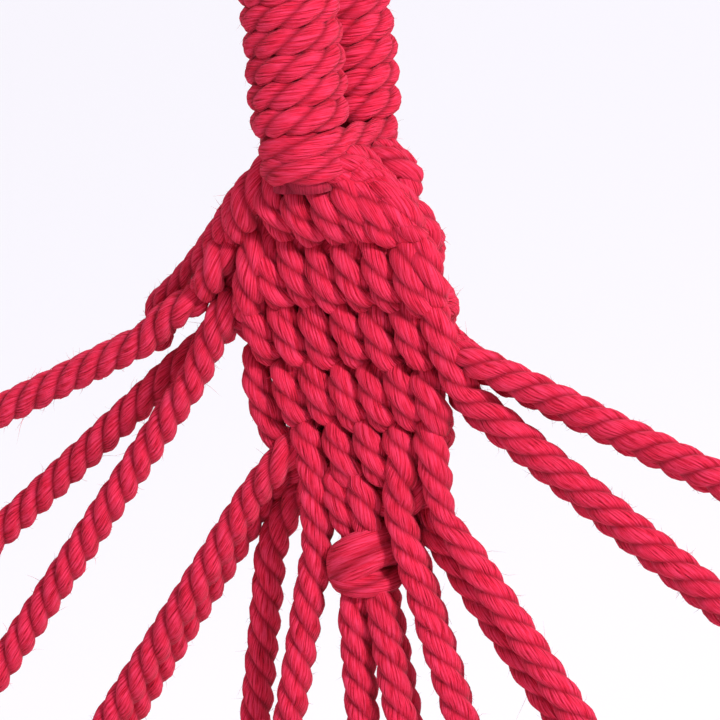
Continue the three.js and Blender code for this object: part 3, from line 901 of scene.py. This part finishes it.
# The hitches that each sling starts from, at the front and at the back.
SLINGS = [
    ("left_outer", "left_outer"), ("left_middle", "left_upper"), ("left_lower", "left_lower"),
    ("left_inner", "left_inner"), ("centre_left", "centre_left"), ("centre_right", "centre_right"),
    ("right_inner", "right_inner"), ("right_lower", "right_lower"),
    ("right_middle", "right_middle"), ("right_outer", "right_outer"),
]
SLING_PITCH = 0.050
SLING_LOW, SLING_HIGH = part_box("sling_5")
SLING_SIDE = SLING_HIGH.y - CORD / 2
SLING_UNDER = SLING_LOW.z + CORD / 2
BELT = middle("front_belt_cord")
HITCH_FOOT = BAR_Z - BAR_RADIUS - 0.0065
SLING_STRAIGHT = (0.05, 0.93)   # a leg is straight between these shares of its way to the trough
BELT_TURN_HALF = 0.0031         # half the width of the turn that a leg takes round the belt cord
SLING_BEND = 0.0048             # how tightly a leg turns under the trough


def sling_leg(hitch, x, side):
    y = side * SLING_SIDE
    points = [(HITCH_X[hitch], side * LAYER, HITCH_FOOT)]
    for share in SLING_STRAIGHT:
        points.append((HITCH_X[hitch] + (x - HITCH_X[hitch]) * share,
                       side * (LAYER + (SLING_SIDE - LAYER) * share),
                       HITCH_FOOT + (TROUGH_HIGH.z - HITCH_FOOT) * share))
    points.append((x, y, TROUGH_HIGH.z - 0.006))
    # One turn round the belt cord, which lies outside the leg.
    turn_radius = abs(BELT.y) - SLING_SIDE
    for i in range(13):
        angle = 2 * math.pi * i / 12
        across = -BELT_TURN_HALF + 2 * BELT_TURN_HALF * i / 12
        points.append((x + across, side * (abs(BELT.y) - turn_radius * math.cos(angle)),
                       BELT.z - turn_radius * math.sin(angle)))
    points += [(x + 0.001, y, BELT.z - 0.014), (x, y, SLING_UNDER + 0.02)]
    for i in range(4):
        w = math.pi / 2 * i / 3
        points.append((x, y - side * SLING_BEND * (1 - math.cos(w)),
                       SLING_UNDER + SLING_BEND * (1 - math.sin(w))))
    return points


def sling_route(index, front_hitch, back_hitch):
    x = (index - (len(SLINGS) - 1) / 2) * SLING_PITCH
    front = sling_leg(front_hitch, x, FRONT)
    back = sling_leg(back_hitch, x, BACK)[::-1]
    return smooth_route(front + [(x, 0, SLING_UNDER)] + back)


for number, (front_hitch, back_hitch) in enumerate(SLINGS):
    name = "sling_%d" % (number + 1)
    finish_piece(cord_piece(name, [sling_route(number, front_hitch, back_hitch)], RED_CORD, **COARSER),
                 "hanger", "red_cotton_cord", name)


STOPPER_TURNS = 2.2
STOPPER_PITCH = 0.0052
STOPPER_RADIUS = 0.0048


def stopper(end, outward, y, z):
    """A barrel knot on the end of a cord: the cord turns twice back round itself."""
    points = []
    steps = 48
    for i in range(steps + 1):
        angle = 2 * math.pi * STOPPER_TURNS * i / steps
        points.append((end - outward * STOPPER_PITCH * STOPPER_TURNS * i / steps,
                       y + STOPPER_RADIUS * math.cos(angle), z + STOPPER_RADIUS * math.sin(angle)))
    return points


def belt_routes(node_name):
    low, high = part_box(node_name)
    y, z = (low.y + high.y) / 2, (low.z + high.z) / 2
    body = [(low.x, y, z), (low.x / 2, y, z), (0, y, z), (high.x / 2, y, z), (high.x, y, z)]
    return [smooth_route(body, 0.004), smooth_route(stopper(high.x, 1, y, z)),
            smooth_route(stopper(low.x, -1, y, z))]


for name in ("front_belt_cord", "back_belt_cord"):
    finish_piece(cord_piece(name, belt_routes(name), RED_CORD, **COARSER),
                 "hanger", "red_cotton_cord", name)


# ------------------------------------------------------------
# The bar and the trough
# ------------------------------------------------------------

def deselect_all():
    for o in bpy.context.selected_objects:
        o.select_set(False)


def select_parts(piece, kind, wanted):
    """In edit mode, selects only the faces or the edges (FACE or EDGE) for which wanted is true."""
    bpy.ops.mesh.select_mode(type=kind)
    bpy.ops.mesh.select_all(action="DESELECT")
    shape = bmesh.from_edit_mesh(piece.data)
    for part in (shape.faces if kind == "FACE" else shape.edges):
        if wanted(part):
            part.select_set(True)
    shape.select_flush_mode()
    bmesh.update_edit_mesh(piece.data)


def new_primitive(name, add, **how):
    """A primitive at its size and place, with its place in its mesh."""
    deselect_all()
    add(**how)
    piece = bpy.context.object
    piece.name = name
    bpy.ops.object.transform_apply(location=True, rotation=True, scale=True)
    return piece


def finish_shape(piece, material):
    bpy.ops.object.mode_set(mode="OBJECT")
    bpy.ops.object.shade_smooth_by_angle(angle=math.radians(40))
    piece.data.materials.clear()
    piece.data.materials.append(material)
    piece.select_set(False)
    return piece


BAR_END_ROUNDING = 0.003
AT_ONE_END = 1e-5           # the two ends of an edge round the bar's end differ in X by less than this


def beech_bar():
    """A turned rod with its end edges rounded over."""
    piece = new_primitive("beech_spreader_bar", bpy.ops.mesh.primitive_cylinder_add, vertices=64,
                          radius=BAR_RADIUS, depth=BAR_HIGH.x - BAR_LOW.x, location=(0, 0, BAR_Z),
                          rotation=(0, math.pi / 2, 0))
    bpy.ops.object.mode_set(mode="EDIT")
    select_parts(piece, "EDGE",
                 lambda edge: abs(edge.verts[0].co.x - edge.verts[1].co.x) < AT_ONE_END)
    bpy.ops.mesh.bevel(offset=BAR_END_ROUNDING, segments=5, affect="EDGES")
    select_parts(piece, "FACE", lambda face: abs(face.normal.x) > 0.999)
    bpy.ops.mesh.inset(thickness=BAR_END_ROUNDING, depth=0.0)
    return finish_shape(piece, BEECH)


TROUGH_CORNER = 0.014
TROUGH_WALL = 0.003
TROUGH_EDGE = 0.0010        # how far the rim and the foot are rounded
DRAIN_HOLE = 0.010
DRAIN_COUNT = 5
DRAIN_PITCH = 0.092


def stone_trough():
    """A deep tray with rounded upright corners, an even wall and drain holes in its floor."""
    size = TROUGH_HIGH - TROUGH_LOW
    piece = new_primitive("stone_planter_trough", bpy.ops.mesh.primitive_cube_add, size=1,
                          location=(TROUGH_LOW + TROUGH_HIGH) / 2, scale=size)
    bpy.ops.object.mode_set(mode="EDIT")
    select_parts(piece, "EDGE",
                 lambda edge: abs(edge.verts[0].co.z - edge.verts[1].co.z) > size.z / 2)
    bpy.ops.mesh.bevel(offset=TROUGH_CORNER, segments=10, affect="EDGES")
    select_parts(piece, "FACE", lambda face: face.normal.z > 0.99)
    bpy.ops.mesh.inset(thickness=TROUGH_WALL, depth=0.0)
    bpy.ops.mesh.extrude_region_move(TRANSFORM_OT_translate={"value": (0, 0, TROUGH_WALL - size.z)})
    bpy.ops.object.mode_set(mode="OBJECT")
    for i in range(DRAIN_COUNT):
        x = (i - (DRAIN_COUNT - 1) / 2) * DRAIN_PITCH
        cutter = new_primitive("drain_cutter", bpy.ops.mesh.primitive_cylinder_add, vertices=32,
                               radius=DRAIN_HOLE / 2, depth=4 * TROUGH_WALL,
                               location=(x, 0, TROUGH_LOW.z))
        deselect_all()
        bpy.context.view_layer.objects.active = piece
        piece.select_set(True)
        hole = piece.modifiers.new("drain_hole", "BOOLEAN")
        hole.object = cutter
        bpy.ops.object.modifier_apply(modifier="drain_hole")
        bpy.data.objects.remove(cutter)
    rounding = piece.modifiers.new("rounded_edges", "BEVEL")
    rounding.width = TROUGH_EDGE
    rounding.segments = 3
    rounding.limit_method = "ANGLE"
    rounding.angle_limit = math.radians(50)
    bpy.ops.object.modifier_apply(modifier="rounded_edges")
    return finish_shape(piece, STONE_PLASTIC)


finish_piece(beech_bar(), "hanger", "oiled_beech", "spreader_bar")
finish_piece(stone_trough(), "trough", "stone_white_plastic", "planter_trough")


# ------------------------------------------------------------
# Floor and light
# ------------------------------------------------------------

FLOOR_BELOW = 0.16          # the planter hangs this far above the floor


def add_floor():
    deselect_all()
    bpy.ops.mesh.primitive_circle_add(vertices=96, radius=30, fill_type="NGON",
                                      location=(0, 0, CAD_BOX[0].z - FLOOR_BELOW))
    floor = bpy.context.object
    floor.name = "studio_floor"
    material, tree = new_material("pale_floor")
    shader = node(tree, "ShaderNodeBsdfPrincipled", {"Base Color": linear("#F6F5F8"), "Roughness": 0.95,
                                                     "Specular IOR Level": 0.0})
    node(tree, "ShaderNodeOutputMaterial", links={"Surface": (shader, "BSDF")})
    floor.data.materials.append(material)
    floor.select_set(False)


def add_area_light(name, place, aim, size, power, colour="#FFFFFF"):
    """A round soft light of a power in watts, turned to face its aim."""
    data = bpy.data.lights.new(name, "AREA")
    data.shape = "DISK"
    data.size = size
    data.energy = power
    data.color = linear(colour)[:3]
    light = bpy.data.objects.new(name, data)
    bpy.context.scene.collection.objects.link(light)
    light.location = place
    light.rotation_euler = (Vector(aim) - Vector(place)).to_track_quat("-Z", "Y").to_euler()


def add_world(overhead, level, colour):
    """A white surround that is brighter overhead than at eye level."""
    world = bpy.data.worlds.new("studio")
    world.use_nodes = True
    bpy.context.scene.world = world
    tree = world.node_tree
    background = tree.nodes["Background"]
    direction = node(tree, "ShaderNodeTexCoord")
    height = node(tree, "ShaderNodeSeparateXYZ", links={"Vector": (direction, "Generated")})
    strength = node(tree, "ShaderNodeMapRange",
                    {"From Min": 0.0, "From Max": 1.0, "To Min": level, "To Max": overhead},
                    {"Value": (height, "Z")})
    background.inputs["Color"].default_value = linear(colour)
    tree.links.new(strength.outputs["Result"], background.inputs["Strength"])


add_floor()
add_world(0.96, 0.40, "#FCFAFF")
add_area_light("key_light", (1.85, -0.85, 1.1), (0, 0, -0.13), 0.4, 61)
add_area_light("backdrop_light", (-1.0, 5.0, 4.0), (-1.0, 5.0, -1.0), 6.0, 84, "#FBF9FF")

bpy.context.scene.view_settings.view_transform = "Standard"
